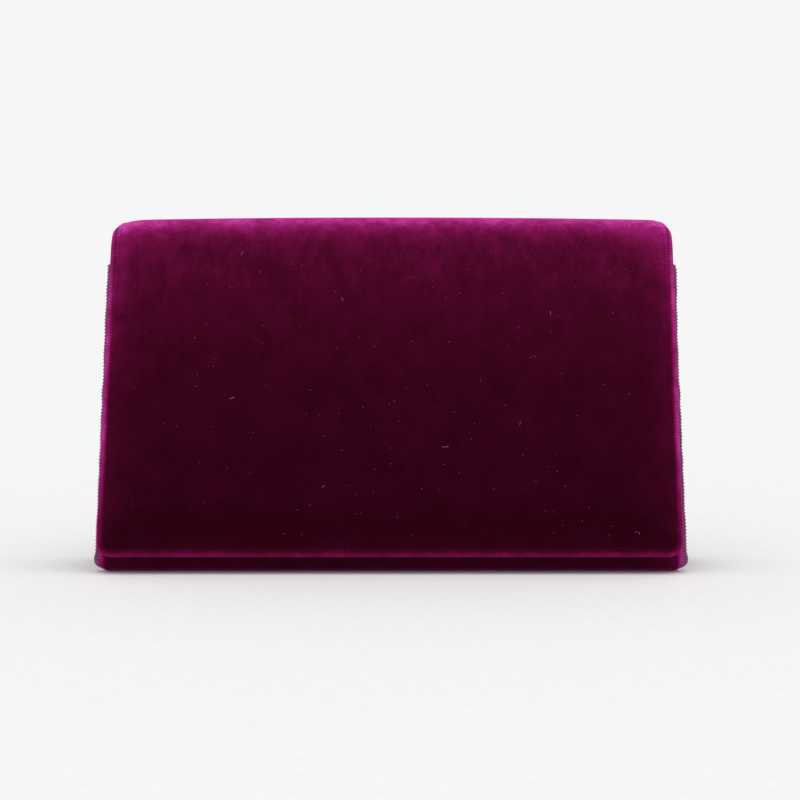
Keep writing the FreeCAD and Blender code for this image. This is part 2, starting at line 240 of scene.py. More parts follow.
# ---- Meshes ----
def make_mesh(name, points, faces, material, painted_light_values=None):
    """A smooth mesh object; the last argument gives the painted light at each point."""
    mesh = bpy.data.meshes.new(name)
    mesh.from_pydata(points.reshape(-1, 3).tolist(), [], [list(face) for face in faces])
    mesh.validate()
    for polygon in mesh.polygons:
        polygon.use_smooth = True
    # the painted light at each point, which the materials turn into colour
    painted_light = mesh.attributes.new("painted_light", "FLOAT", "POINT")
    values = np.zeros(len(mesh.vertices)) if painted_light_values is None else painted_light_values
    painted_light.data.foreach_set("value", np.asarray(values, np.float32).ravel())
    piece = bpy.data.objects.new(name, mesh)
    bpy.context.collection.objects.link(piece)
    mesh.materials.append(material)
    return piece


def quads(index):
    """Faces of a grid of vertex numbers."""
    a, b, c, d = index[:-1, :-1], index[1:, :-1], index[1:, 1:], index[:-1, 1:]
    return np.stack([a, b, c, d], -1).reshape(-1, 4)


def grid_sheet(name, grid, material, painted_light_values=None):
    """One open sheet from a grid of points."""
    index = np.arange(grid.shape[0] * grid.shape[1]).reshape(grid.shape[:2])
    return make_mesh(name, grid, quads(index), material, painted_light_values)


def closed_sheet(name, top, bottom, material):
    """A thin closed sheet between two grids of the same size."""
    count = top.shape[0] * top.shape[1]
    index = np.arange(count).reshape(top.shape[:2])
    faces = [quads(index), quads(index + count)[:, ::-1]]
    around = join([index[0, :-1], index[:-1, -1], index[-1, :0:-1], index[:0:-1, 0]])
    ahead = np.roll(around, -1)
    faces.append(np.stack([around, ahead, ahead + count, around + count], 1))
    points = join([top.reshape(-1, 3), bottom.reshape(-1, 3)])
    return make_mesh(name, points, join(faces), material)


def lay(path, x, s, depth):
    """Points at x across, s along a path and depth inside it."""
    x, s, depth = np.broadcast_arrays(x, s, depth)
    y, z = path.at(s, depth)
    return np.stack([x, y, z], -1)


def spaced(start, end, step):
    """Evenly spaced values from start to end, about a step apart."""
    return np.linspace(start, end, max(2, int(round(abs(end - start) / step)) + 1))


def face_outwards(piece, outward):
    """Turn the faces over if on the whole they look the wrong way."""
    normal = sum((p.normal for p in piece.data.polygons), Vector())
    if normal.dot(Vector(outward)) < 0:
        piece.data.flip_normals()


# ---- Materials ----
class Nodes:
    """Short names for building a node tree."""

    def __init__(self, name):
        self.material = bpy.data.materials.new(name)
        self.material.use_nodes = True
        self.tree = self.material.node_tree
        self.shader = self.tree.nodes["Principled BSDF"]
        self.place = self.add("ShaderNodeTexCoord").outputs["Object"]

    def add(self, kind, **settings):
        node = self.tree.nodes.new(kind)
        for key, value in settings.items():
            setattr(node, key, value)
        return node

    def link(self, source, target):
        self.tree.links.new(source, target)

    def stretch(self, scale):
        node = self.add("ShaderNodeMapping")
        node.inputs["Scale"].default_value = scale
        self.link(self.place, node.inputs["Vector"])
        return node.outputs["Vector"]

    def noise(self, pitch, detail=2.0, rough=0.5, place=None):
        """Noise whose blobs are about this many metres apart."""
        node = self.add("ShaderNodeTexNoise")
        node.inputs["Scale"].default_value = 1 / pitch
        node.inputs["Detail"].default_value = detail
        node.inputs["Roughness"].default_value = rough
        self.link(place or self.place, node.inputs["Vector"])
        return node.outputs["Fac"]

    def wave(self, pitch, direction, distortion=0.0):
        """Bands about this many metres apart."""
        node = self.add("ShaderNodeTexWave", bands_direction=direction)
        node.inputs["Scale"].default_value = 0.314 / pitch
        node.inputs["Distortion"].default_value = distortion
        self.link(self.place, node.inputs["Vector"])
        return node.outputs["Fac"]

    def painted_light(self):
        """The painted light that the mesh holds at each point."""
        return self.add("ShaderNodeAttribute", attribute_name="painted_light").outputs["Fac"]

    def beyond(self, start, end):
        """0 near the middle of the width, 1 out by the sides."""
        split = self.add("ShaderNodeSeparateXYZ")
        self.link(self.place, split.inputs[0])
        return self.range(self.math("ABSOLUTE", split.outputs["X"]), start, end)

    def range(self, value, low, high, to_low=0.0, to_high=1.0):
        node = self.add("ShaderNodeMapRange", interpolation_type="SMOOTHSTEP")
        limits = {"From Min": low, "From Max": high, "To Min": to_low, "To Max": to_high}
        for key, number in limits.items():
            node.inputs[key].default_value = number
        self.link(value, node.inputs["Value"])
        return node.outputs["Result"]

    def math(self, operation, *values):
        node = self.add("ShaderNodeMath", operation=operation)
        for socket, value in zip(node.inputs, values):
            if isinstance(value, (int, float)):
                socket.default_value = value
            else:
                self.link(value, socket)
        return node.outputs[0]

    def ramp(self, value, stops):
        """Colours along a value, from a table of position and colour."""
        node = self.add("ShaderNodeValToRGB")
        elements = node.color_ramp.elements
        for spare in list(elements)[1:]:
            elements.remove(spare)
        for number, (position, colour) in enumerate(stops.items()):
            stop = elements[0] if number == 0 else elements.new(position)
            stop.position, stop.color = position, (*colour, 1.0)
        self.link(value, node.inputs["Fac"])
        return node.outputs["Color"]

    def mix(self, factor, first, second, blend="MIX"):
        node = self.add("ShaderNodeMix", data_type="RGBA", blend_type=blend)
        for number, value in ((0, factor), (6, first), (7, second)):
            socket = node.inputs[number]
            if isinstance(value, (int, float)):
                socket.default_value = value
            elif isinstance(value, tuple):
                socket.default_value = (*value, 1.0)
            else:
                self.link(value, socket)
        return node.outputs[2]

    def bump(self, height, distance, strength=1.0, normal=None):
        node = self.add("ShaderNodeBump")
        node.inputs["Strength"].default_value = strength
        node.inputs["Distance"].default_value = distance
        self.link(height, node.inputs["Height"])
        if normal is not None:
            self.link(normal, node.inputs["Normal"])
        return node.outputs["Normal"]

    def finish(self, colour, roughness, normal, **constants):
        self.link(colour, self.shader.inputs["Base Color"])
        self.link(roughness, self.shader.inputs["Roughness"])
        self.link(normal, self.shader.inputs["Normal"])
        for key, value in constants.items():         # set on the shader itself, never linked
            self.shader.inputs[key.replace("_", " ")].default_value = value
        return self.material


SHEEN_PAINT_COLOURS = {             # by painted light: the velvet's own dark wine at 0, painted sheen brighter and more magenta up to 1
    0.0: (0.017, 0.0006, 0.0041),
    0.08: (0.028, 0.0009, 0.0067),
    0.24: (0.069, 0.0023, 0.0195),
    0.4: (0.155, 0.0050, 0.0520),
    0.6: (0.290, 0.0122, 0.1360),
    0.8: (0.500, 0.0450, 0.3000),
    1.0: (0.620, 0.0900, 0.4100),
}


def velvet_material():
    n = Nodes("wine_velvet")
    # the mesh's painted light: painted sheen over the fold and along the rolled edges, painted light
    # fading down the face
    painted_light = n.painted_light()
    crush = n.range(n.noise(0.011, 3.0, 0.6), 0.3, 0.7, -1.0, 1.0)
    mottle = n.range(n.noise(0.0030, 3.0, 0.65, n.stretch((1.0, 1.0, 0.6))), 0.3, 0.7, -1.0, 1.0)
    fibre = n.noise(0.0004, 2.0, 0.6)
    uneven = n.math("ADD", n.math("MULTIPLY", crush, 0.11), n.math("MULTIPLY", mottle, 0.10))
    uneven = n.math("ADD", uneven, n.range(fibre, 0.3, 0.7, -0.10, 0.10))
    shown = n.math("MULTIPLY", painted_light, n.math("ADD", uneven, 1.0))
    shown = n.math("MULTIPLY_ADD", uneven, 0.045, shown)
    # on the rolled sides a little less painted sheen, with bands across it
    at_side = n.beyond(HALF_TOP - 4 * MM, HALF_TOP - 2.5 * MM)
    on_roll = n.math("MULTIPLY", at_side, n.range(painted_light, 0.4, 0.7))
    ribs = n.math("MULTIPLY", n.wave(0.00076, "Z", 2.5), on_roll)
    shown = n.math("MULTIPLY_ADD", ribs, 0.14, n.math("MULTIPLY_ADD", on_roll, -0.06, shown))
    # colour from the painted light: the velvet's dark wine where there is none, bright magenta painted
    # sheen where it is high
    colour = n.ramp(n.math("MULTIPLY", shown, 0.8), SHEEN_PAINT_COLOURS)
    coarse = n.bump(mottle, 0.00006, 0.3)
    normal = n.bump(fibre, 0.00012, 0.8, coarse)
    roughness = n.range(crush, -1.0, 1.0, 0.95, 0.85)
    return n.finish(
        colour, roughness, normal, Sheen_Weight=1.0, Sheen_Roughness=0.35,
        Sheen_Tint=(1.0, 0.06, 0.50, 1.0), Specular_IOR_Level=0.0,
    )


def seam_material():
    n = Nodes("whipped_seam")
    fibre = n.noise(0.0003, 2.0, 0.6)
    ribs = n.painted_light()             # the mesh holds the height of each rib here
    # lighter on each rib's crest, painted shade between the ribs
    colour = n.mix(ribs, (0.105, 0.026, 0.075), (0.34, 0.105, 0.25))
    colour = n.mix(n.range(fibre, 0.4, 0.7, 0.0, 0.4), colour, (0.17, 0.040, 0.115))
    normal = n.bump(fibre, 0.0001, 0.7)
    return n.finish(
        colour, n.range(fibre, 0.3, 0.7, 0.75, 0.95), normal, Sheen_Weight=0.35, Sheen_Roughness=0.5,
        Sheen_Tint=(1.0, 0.22, 0.65, 1.0), Specular_IOR_Level=0.08,
    )


def satin_material():
    n = Nodes("plum_satin")
    weave = n.math("MULTIPLY", n.wave(0.00032, "X"), n.wave(0.00028, "Z", 0.6))
    streak = n.noise(0.0035, 3.0, 0.55, n.stretch((1.0, 1.0, 0.12)))
    wash = n.noise(0.030, 2.0, 0.5)
    colour = n.mix(n.range(streak, 0.3, 0.7), (0.115, 0.0030, 0.040), (0.170, 0.0055, 0.064))
    colour = n.mix(n.range(wash, 0.35, 0.7, 0.0, 0.35), colour, (0.200, 0.0100, 0.084))
    colour = n.mix(n.range(weave, 0.2, 0.8, 0.0, 0.2), colour, (0.24, 0.016, 0.105))
    folds = n.bump(streak, 0.0005, 0.5)
    normal = n.bump(weave, 0.00004, 0.5, folds)
    return n.finish(
        colour, n.range(streak, 0.3, 0.7, 0.34, 0.46), normal, Sheen_Weight=0.15, Sheen_Roughness=0.4,
        Sheen_Tint=(1.0, 0.2, 0.55, 1.0), Specular_IOR_Level=0.16,
    )


def thread_material():
    n = Nodes("wine_thread")
    twist = n.noise(0.00022, 2.0, 0.7)
    colour = n.mix(n.range(twist, 0.3, 0.7), (0.030, 0.0010, 0.0080), (0.075, 0.0030, 0.0260))
    return n.finish(
        colour, n.range(twist, 0.3, 0.7, 0.45, 0.7), n.bump(twist, 0.00008, 0.7), Sheen_Weight=0.3,
        Sheen_Tint=(1.0, 0.1, 0.5, 1.0), Specular_IOR_Level=0.05,
    )


def lint_material():
    n = Nodes("pale_lint")
    fleck = n.noise(0.0005, 2.0, 0.6)
    colour = n.mix(n.range(fleck, 0.3, 0.7), (0.20, 0.070, 0.13), (0.42, 0.24, 0.34))
    return n.finish(colour, n.range(fleck, 0.3, 0.7, 0.7, 0.9), n.bump(fleck, 0.00005, 0.5))


def metal_material(name, light, dark, low, high):
    n = Nodes(name)
    scuff = n.noise(0.0026, 3.0, 0.55)
    brushed = n.noise(0.0007, 2.0, 0.5, n.stretch((1.0, 1.0, 0.08)))
    colour = n.mix(n.range(scuff, 0.35, 0.72), light, dark)
    n.shader.inputs["Metallic"].default_value = 1.0
    marks = n.math("ADD", n.math("MULTIPLY", scuff, 0.6), n.math("MULTIPLY", brushed, 0.4))
    return n.finish(colour, n.range(marks, 0.3, 0.7, low, high), n.bump(brushed, 0.000012, 0.3))


def board_material():
    n = Nodes("grey_board")
    fleck = n.noise(0.0007, 4.0, 0.7)
    cloud = n.noise(0.009, 2.0)
    colour = n.mix(n.range(fleck, 0.35, 0.7), (0.30, 0.25, 0.19), (0.17, 0.14, 0.11))
    colour = n.mix(n.range(cloud, 0.4, 0.7, 0.0, 0.3), colour, (0.36, 0.31, 0.25))
    return n.finish(colour, n.range(fleck, 0.3, 0.7, 0.8, 0.95), n.bump(fleck, 0.00008, 0.6))


def ferrite_material():
    n = Nodes("dark_ferrite")
    grain = n.noise(0.0004, 4.0, 0.7)
    colour = n.mix(n.range(grain, 0.35, 0.7), (0.035, 0.035, 0.038), (0.015, 0.015, 0.016))
    return n.finish(colour, n.range(grain, 0.3, 0.7, 0.45, 0.65), n.bump(grain, 0.00004, 0.5))


VELVET = velvet_material()
SEAM = seam_material()
SATIN = satin_material()
THREAD = thread_material()
LINT = lint_material()
BRASS = metal_material("pale_brass", (0.80, 0.60, 0.31), (0.72, 0.52, 0.25), 0.20, 0.34)
STEEL = metal_material("plated_steel", (0.62, 0.62, 0.63), (0.42, 0.42, 0.44), 0.25, 0.5)
BOARD = board_material()
FERRITE = ferrite_material()


# ---- Flap ----
STITCH_IN = 2.45 * MM        # stitch line, from the edge
STITCH_PITCH = 1.5 * MM
GROOVE = 0.36 * MM           # half the width of the stitched groove
ROLL_SHEEN_PAINT = 0.82             # painted sheen along the rolled edges
EDGE_SHEEN_PAINT = 0.10             # and how much more painted sheen than elsewhere just inside them


def groove(e, along):
    """Depth of the stitched groove at a distance e from the edge, with a dent at each stitch."""
    across = hump(e - STITCH_IN, GROOVE)
    dents = 0.5 + 0.5 * np.cos(along * math.tau / STITCH_PITCH)
    pull = 0.75 + 0.25 * waves(along, 0 * along, 13, 7 * MM)
    return across * (0.12 + 0.36 * dents**2) * pull * MM


def crown(x, s):
    """The fold sinks a little towards its ends, and rounds off at the upper corners."""
    reach = np.where(x < 0, 8 * MM, 4.5 * MM)        # the left corner is the rounder one
    past = np.clip((np.abs(x) - (HALF_TOP - 2 * MM - reach)) / reach, 0, 0.9)
    corner = 1.9 * MM * (1 - np.sqrt(1 - past**2))
    low = 0.8 * MM * np.abs(x / HALF_TOP) ** 2.2
    return low * hump(s, 11 * MM) + corner * hump(s, 7 * MM)


def face_swell(x, s):
    """The flap bellies out gently under the fold and settles towards its lower edge."""
    down = np.clip((s - 0.5 * ARC_HALF) / (FACE_END - 0.5 * ARC_HALF), 0, 1)
    belly = np.sin(math.pi * down**0.75) ** 1.2
    return belly * (1 - 0.35 * np.abs(x / HALF_BASE) ** 2)


def flap_half(s):
    """Half the width of the flap and of its part of the fold."""
    z = FLAP_PATH.at(s)[1]
    return half_width(z) - FLAP_INSET - crest_pull(s)


def flap_columns():
    """Share of the half-width of each column, closer together by the stitch lines."""
    edge = 1 - spaced(0, EDGE_BAND, FINE) / HALF_TOP
    inner = spaced(0, edge[-1] * HALF_TOP, COLUMN) / HALF_TOP
    half = join([inner[:-1], edge[::-1]])
    return join([-half[:0:-1], half])


def flap_face():
    """Places x and s of the flap's face inside its rolled edge, with rounded lower corners."""
    columns = flap_columns()
    rows = join([
        spaced(0, 0.4 * MM, 0.1 * MM)[:-1],
        spaced(0.4 * MM, FACE_END - 6 * MM, 0.375 * MM)[:-1],
        spaced(FACE_END - 6 * MM, FACE_END, 0.25 * MM),
    ]) / FACE_END
    reach = FLAP_CORNER - ROLL
    corner = reach * (1 - math.sqrt(0.5))
    low_half = flap_half(FACE_END) - ROLL
    across = columns * (low_half - corner)
    end = FACE_END - ROLL - fall_back(np.abs(across) - (low_half - reach), reach)
    s = rows[:, None] * end[None, :]
    side = s[:, :1]
    half = flap_half(side) - ROLL - fall_back(side - (FACE_END - ROLL - reach), reach)
    return columns[None, :] * half, s


def border(grid):
    """The left side of a grid downwards, its lower edge, and its right side upwards."""
    return join([grid[:, 0], grid[-1, 1:-1], grid[::-1, -1]])


def outwards(outline):
    """Directions square to the flap's outline, in x and s."""
    reach = FLAP_CORNER - ROLL
    centre_x = flap_half(outline[:, 1]) - ROLL - reach
    out_x = np.clip(np.abs(outline[:, 0]) - centre_x, 0, None)
    out_s = np.clip(outline[:, 1] - (FACE_END - ROLL - reach), 0, None)
    out_x = np.where(out_s == 0, 1.0, out_x)
    size = np.hypot(out_x, out_s)
    return np.stack([np.sign(outline[:, 0]) * out_x / size, out_s / size], 1)


def flap_relief(x, s):
    """Depth of the flap's face, and its painted light."""
    e_side = flap_half(s) - np.abs(x)
    e_end = FACE_END - s
    in_corner = (e_side < FLAP_CORNER) & (e_end < FLAP_CORNER)
    rounded = FLAP_CORNER - np.hypot(FLAP_CORNER - e_side, FLAP_CORNER - e_end)
    e = np.where(in_corner, rounded, np.minimum(e_side, e_end))
    along = np.where(e_side < e_end, s, x)
    depth = groove(e, along) + crown(x, s)
    swell = smooth(e, 2.6 * MM, 16 * MM)
    proud = 0.15 * smooth(e, 2.5 * MM, 4 * MM) * smooth(s, 0, 8 * MM)
    depth -= (proud + 0.75 * face_swell(x, s) * swell) * MM
    depth += 0.05 * MM * waves(x, s, 3, 22 * MM) * swell * smooth(s, MM, 9 * MM)
    return depth, np.maximum(painted_roll_sheen(e), painted_light_along(s) + painted_edge_sheen(e, s))


def flap_roll(outline, turn, tuck):
    """One line of the velvet rolled round the flap's edge: its places, s and painted sheen."""
    x, s = outline.T
    ring = outline + outwards(outline) * (ROLL * math.sin(turn) - tuck)
    sink = STACK / 2 * (1 - math.cos(turn)) + crown(x, s)
    wobble = 0.05 * MM * waves(x, s, 9, 9 * MM) * math.sin(turn) * smooth(s, 0, 8 * MM)
    # painted sheen over the roll, strongest at its outermost line
    crest = math.sin(min(turn, math.pi)) ** 0.8
    on_face = turn < 1.6
    rolled = painted_roll_sheen(ROLL * (1 - math.sin(turn))) if on_face else ROLL_SHEEN_PAINT * crest
    uneven = 0.08 * waves(x, s, 11, 5 * MM) * crest
    # the painted sheen on the roll fades towards the flap's lower edge
    foot = 1 - 0.4 * smooth(s, FACE_END - 34 * MM, FACE_END - 3 * MM)
    painted_light = np.maximum((rolled + uneven) * foot, painted_light_along(s))
    return lay(FLAP_PATH, ring[:, 0], ring[:, 1], sink + wobble), ring[:, 1], painted_light


def make_flap_velvet():
    x, s = flap_face()
    depth, painted_light = flap_relief(x, s)
    outline = border(np.stack([x, s], -1))
    points = [lay(FLAP_PATH, x, s, depth).reshape(-1, 3)]
    painted_light_lists = [painted_light.ravel()]
    along_flap = [s.ravel()]
    turns = join([np.radians(np.linspace(0, 180, 17))[1:], [math.pi] * 3])
    tucks = join([np.zeros(16), np.array([1.1, 2.2, 3.2]) * MM])
    for turn, tuck in zip(turns, tucks):
        line, line_s, line_painted_light = flap_roll(outline, turn, tuck)
        points.append(line)
        along_flap.append(line_s)
        painted_light_lists.append(line_painted_light)

    index = np.arange(x.size).reshape(x.shape)
    previous = border(index)
    faces = [quads(index)]
    for number in range(len(turns)):
        current = x.size + number * len(outline) + np.arange(len(outline))
        faces.append(np.stack([previous[:-1], current[:-1], current[1:], previous[1:]], 1))
        previous = current
    points = join(points)
    points[:, 0] += flap_shift(join(along_flap))
    faces, painted_light_lists = join(faces), join(painted_light_lists)
    skin = make_mesh("flap_velvet_skin", points, faces, VELVET, painted_light_lists)
    face_outwards(skin, (0, -1, 0))
    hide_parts("flap_velvet", "flap_fleece", "fold_fleece")
    return skin


def across_fold(piece):
    """Apply a piece's transform to its mesh."""
    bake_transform(piece)


# ---- Back, base and front ----
def edge_profile():
    """Distances in from the edge, and shares of the depth, of velvet rolled round a side edge."""
    turn = np.radians(np.linspace(180, 0, 17))
    turned_under = np.array([4.2, 3.2, 2.4]) * MM
    seam = spaced(ROLL, EDGE_BAND, FINE)[1:]
    e = join([turned_under, ROLL * (1 - np.sin(turn)), seam])
    share = join([np.ones(3), 0.5 * (1 - np.cos(turn)), np.zeros(len(seam))])
    return e, share


def panel_grid(path, rows, half, thickness, relief, painted_light_from=0.0):
    """Velvet across the whole width of a path, rolled in at both side edges, and its painted light."""
    e, share = edge_profile()
    inner = spaced(EDGE_BAND, HALF_TOP, COLUMN)[1:]
    e = join([e, inner])
    share = join([share, np.zeros(len(inner))])
    side = join([-np.ones(len(e)), np.ones(len(e) - 1)])
    e = join([e, e[-2::-1]])
    share = join([share, share[-2::-1]])
    s = rows[:, None]
    stretch = (half(s) - EDGE_BAND) / (HALF_TOP - EDGE_BAND)
    from_edge = np.where(e > EDGE_BAND, EDGE_BAND + (e - EDGE_BAND) * stretch, e)
    x = side * (half(s) - from_edge)
    depth = share * thickness + relief(x, s, from_edge, share < 0.2)
    outside = share <= 0.5
    crest = np.clip(np.sin(np.pi * share), 0, 1) ** 0.8 * ~outside
    # painted light by how far down the path, no less far than the given start; painted sheen on the
    # rolled edges
    painted_light_s = np.maximum(s, painted_light_from)
    face = painted_light_along(painted_light_s) + painted_edge_sheen(from_edge, painted_light_s) * outside
    edge = np.maximum(painted_roll_sheen(from_edge) * outside, ROLL_SHEEN_PAINT * crest)
    return lay(path, x, s, depth), np.maximum(edge, face)


def back_half(s):
    """Half the width of the velvet of the back and base."""
    z = BACK_PATH.at(s)[1]
    inset = FLAP_INSET + (SIDE_INSET - FLAP_INSET) * smooth(s, 12 * MM, 17 * MM)
    return half_width(z) - inset - crest_pull(s) - fall_back(FOOT_CORNER - z, FOOT_CORNER)


def back_shift(s):
    """The back starts level with the askew flap and is straight below the fold."""
    return FLAP_SHIFT * (1 - smooth(s, 4 * MM, 22 * MM))


def back_thickness(s):
    return STACK * (1 - 0.5 * smooth(s, 12 * MM, 18 * MM))


def back_relief(x, s, e, outside):
    face = smooth(s, 8 * MM, 30 * MM) * (1 - smooth(s, 70 * MM, 92 * MM)) * outside
    swell = 0.45 * MM * face * smooth(e, 3 * MM, 20 * MM)
    ripple = 0.05 * MM * waves(x, s, 5, 24 * MM) * smooth(e, 3 * MM, 12 * MM) * face
    return groove(e, s) * outside + crown(x, s) - swell + ripple


def make_back_velvet():
    rows = join([
        spaced(0, 0.4 * MM, 0.1 * MM)[:-1],
        spaced(0.4 * MM, BACK_PATH.length, 0.5 * MM),
    ])
    thickness = back_thickness(rows)[:, None]
    grid, painted_light = panel_grid(BACK_PATH, rows, back_half, thickness, back_relief)
    grid[..., 0] += back_shift(rows)[:, None]
    skin = grid_sheet("back_velvet_skin", grid, VELVET, painted_light)
    face_outwards(skin, (0, 1, 0))
    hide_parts("back_velvet", "back_fleece", "base_velvet", "fold_velvet")
    return skin


RIM_PULL = 0.8 * MM          # the front velvet draws in this much at its rim


def front_half(s):
    """Half the width of the velvet of the front panel."""
    z = FRONT_PATH.at(s)[1]
    top = RIM_PULL * smooth(s, FRONT_RIM_S - 4 * MM, FRONT_RIM_S)
    return half_width(z) - SIDE_INSET - top - fall_back(FOOT_CORNER - z, FOOT_CORNER)


def front_relief(x, s, e, outside):
    """Depth of the front velvet, with the seat of the snap and the line stitched under the rim."""
    seat = np.hypot(x, FRONT_PATH.at(s)[1] - SNAP_HEIGHT)
    dimple = 2.3 * MM * (1 - smooth(seat, 4.6 * MM, 7.2 * MM)) * (s < FRONT_RIM_S)
    flat = (1 - smooth(s, FRONT_RIM_S - 6 * MM, FRONT_RIM_S - MM)) * smooth(s, 8 * MM, 20 * MM)
    edge_line = 0.25 * MM * hump(s - (FRONT_RIM_S - 3 * MM), 0.35 * MM)
    ripple = 0.04 * MM * waves(x, s, 7, 20 * MM) * flat * smooth(seat, 7 * MM, 10 * MM)
    stitched = groove(e, s) * (s < FRONT_RIM_S - 2 * MM)
    return (stitched + dimple + edge_line + ripple) * outside


def make_front_velvet():
    rows = join([
        spaced(0, FRONT_RIM_S - 4 * MM, 0.6 * MM)[:-1],
        spaced(FRONT_RIM_S - 4 * MM, FRONT_PATH.length, 0.3 * MM),
    ])
    grid, painted_light = panel_grid(FRONT_PATH, rows, front_half, STACK / 2, front_relief, 45 * MM)
    # painted sheen along the rim of the front panel
    on_rim = hump(rows - FRONT_RIM_S, 1.8 * MM)
    painted_light = np.maximum(painted_light, ROLL_SHEEN_PAINT * on_rim[:, None])
    skin = grid_sheet("front_velvet_skin", grid, VELVET, painted_light)
    face_outwards(skin, (0, -1, 0))
    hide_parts("front_velvet", "front_fleece")
    return skin


def across_front(piece):
    """Apply a piece's transform to its mesh."""
    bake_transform(piece)


# ---- Linings ----
LINING_IN = 3.3 * MM         # the lining stops this far in from the edge of the panel
LINING_THICK = 0.3 * MM
LINING_FACE = STACK + 0.2 * MM


def lining_sheet(name, path, rows, half, ripple, shift=0.0):
    """A lining across the width of a path, rippled except at its edges and under the snap."""
    share = np.linspace(-1, 1, 121)
    s = rows[:, None]
    x = share * half(s)
    near_edge = np.minimum(1, (1 - np.abs(share)) * 12)
    end = np.minimum(1, np.minimum(s - rows[0], rows[-1] - s) / (4 * MM) + 0.15)
    seat = np.hypot(x, path.at(s)[1] - SNAP_HEIGHT)
    lift = ripple * (1 + waves(x, s * 0.2, 21, 15 * MM)) * near_edge * end
    lift = lift * smooth(seat, 8 * MM, 14 * MM)
    top = lay(path, x, s, LINING_FACE + lift)
    bottom = lay(path, x, s, LINING_FACE - LINING_THICK + 0 * x)
    for grid in (top, bottom):
        grid[..., 0] += shift
    piece = closed_sheet(name, top, bottom, SATIN)
    return piece


def make_flap_lining():
    end = FACE_END - LINING_IN

    def half(s):
        return flap_half(s) - LINING_IN - 0.6 * MM * smooth(s, end - 2 * MM, end)

    rows = join([spaced(0, 18 * MM, 0.4 * MM)[:-1], spaced(18 * MM, end, 1.2 * MM)])
    shift = flap_shift(rows)[:, None]
    piece = lining_sheet("flap_lining_skin", FLAP_PATH, rows, half, 0.16 * MM, shift)
    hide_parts("flap_lining")
    return piece


def make_back_lining():
    def half(s):
        clear_of_roll = 1.1 * MM - 0.6 * MM * smooth(s, 12 * MM, 20 * MM)
        return back_half(s) + SIDE_INSET - WELT - clear_of_roll

    end = BACK_PATH.length
    rows = join([spaced(0, 18 * MM, 0.4 * MM)[:-1], spaced(18 * MM, end, 0.8 * MM)])
    piece = lining_sheet("back_lining_skin", BACK_PATH, rows, half, 0.20 * MM)
    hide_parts("back_lining", "fold_lining", "base_lining")
    return piece


def make_front_lining():
    def half(s):
        return front_half(s) + SIDE_INSET - WELT - 0.5 * MM

    rows = spaced(0, FRONT_RIM_S - 3.4 * MM, 0.8 * MM)
    piece = lining_sheet("front_lining_skin", FRONT_PATH, rows, half, 0.18 * MM)
    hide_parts("front_lining")
    return piece


# ---- Gussets ----
INNER_FRONT = FRONT_FOOT + STACK / math.cos(LEAN)
INNER_BACK = HALF_DEPTH - STACK / math.cos(LEAN)
CREASE_Y = (INNER_FRONT + INNER_BACK) / 2
GUSSET_TUCK = 10.0 * MM


def make_gusset(side, side_name):
    """One side gusset: velvet outside and lining inside, folded inwards down its middle."""
    low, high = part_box(f"gusset_{side_name}_rear_velvet")
    z = spaced(low[2], high[2] - 0.2 * MM, 1.0 * MM)[:, None]
    q = np.linspace(-1, 1, 49)[None, :]
    front = INNER_FRONT + z * RUN
    back = INNER_BACK - z * RUN
    y = np.where(q < 0, CREASE_Y + q * (CREASE_Y - front), CREASE_Y + q * (back - CREASE_Y))
    tuck = GUSSET_TUCK * (z - low[2]) / (high[2] - low[2])
    fold = 1 - np.sqrt(q**2 + 0.004)
    sag = 0.35 * MM * np.sin(math.pi * np.abs(q)) * smooth(z, low[2], 30 * MM)
    ripple = 0.10 * MM * waves(y * 3, z, 31 + side, 12 * MM) * np.sin(math.pi * np.abs(q))
    x = half_width(z) - WELT - tuck * fold - sag - ripple
    layers = {"velvet": (VELVET, 0.0, 0.95 * MM), "lining": (SATIN, 1.0 * MM, 1.35 * MM)}
    for sheet, (material, outer, inner) in layers.items():
        grids = [np.stack([side * (x - inset), y + 0 * x, z + 0 * x], -1) for inset in (outer, inner)]
        piece = closed_sheet(f"gusset_{side_name}_{sheet}_skin", *grids, material)
        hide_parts(f"gusset_{side_name}_rear_{sheet}", f"gusset_{side_name}_front_{sheet}")
        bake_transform(piece)


# ---- Seam edges ----
RIB_PITCH = 0.92 * MM


